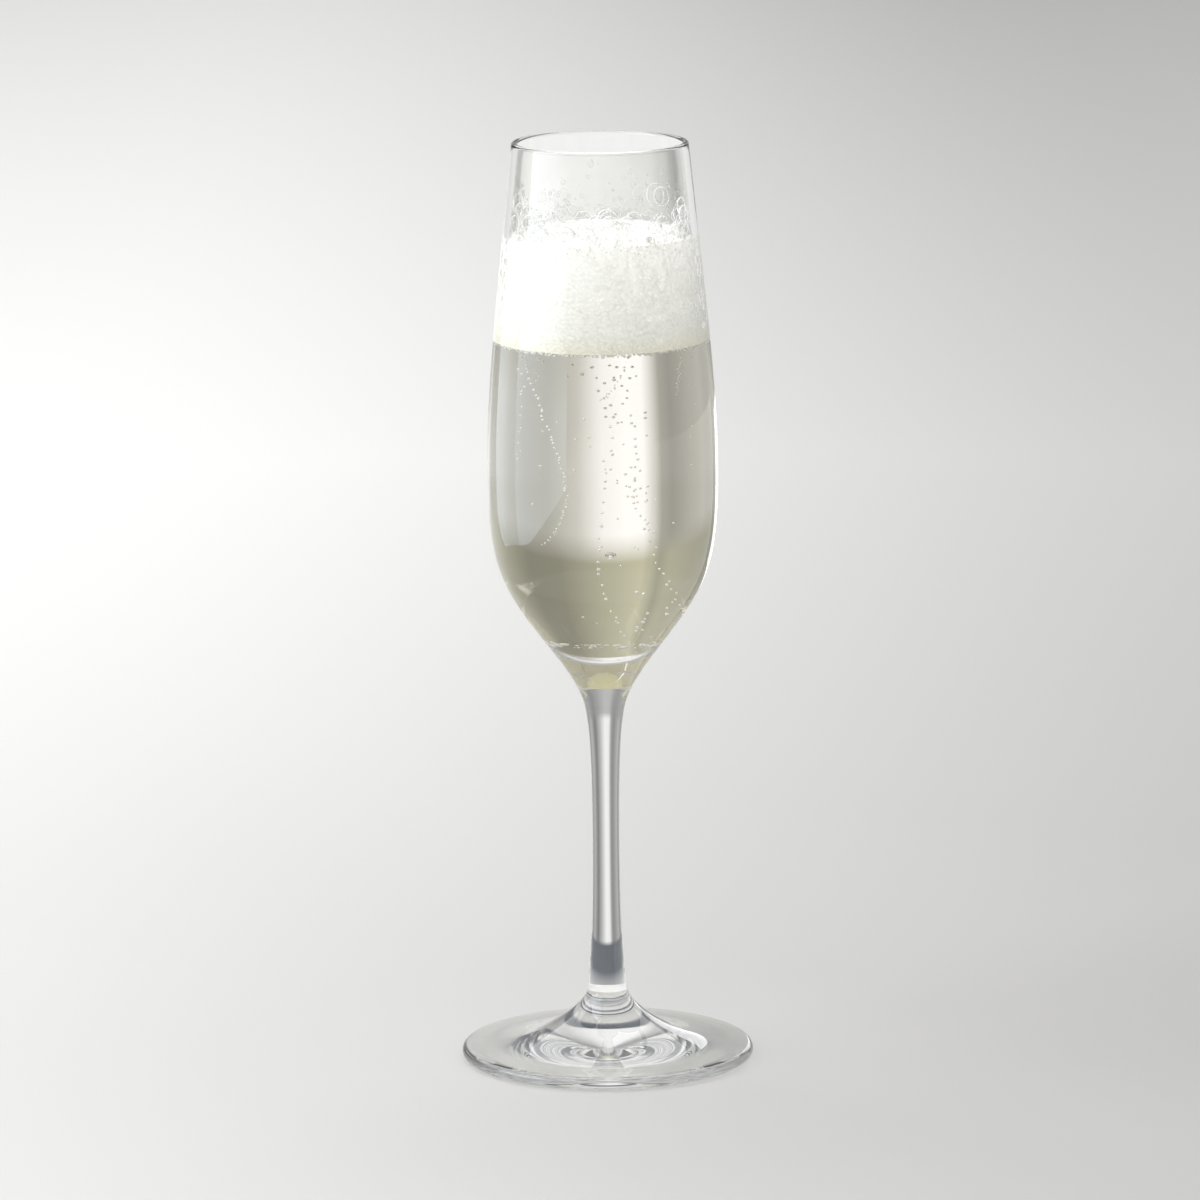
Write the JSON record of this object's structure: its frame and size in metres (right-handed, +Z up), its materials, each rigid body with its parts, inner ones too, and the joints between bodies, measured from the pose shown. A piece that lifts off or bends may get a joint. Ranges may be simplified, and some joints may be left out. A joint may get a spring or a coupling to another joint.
{
  "type": "champagne flute",
  "caption": "Clear plastic champagne flute with a tulip bowl, a slim stem and a round foot, filled with champagne under a head of foam.",
  "frame": {"origin": "middle of the ring under the foot that the flute stands on", "axes": "+Z up along the stem's axis, from the foot to the rim; the flute is round, so X and Y are free"},
  "size_m": [0.076, 0.076, 0.24],
  "materials": {
    "clear_plastic": "polished",
    "champagne": "polished",
    "foam": "matte"
  },
  "bodies": {
    "root": {"bowl": "clear_plastic", "stem": "clear_plastic", "foot": "clear_plastic", "champagne": "champagne", "foam_head": "foam"}
  },
  "joints": []
}
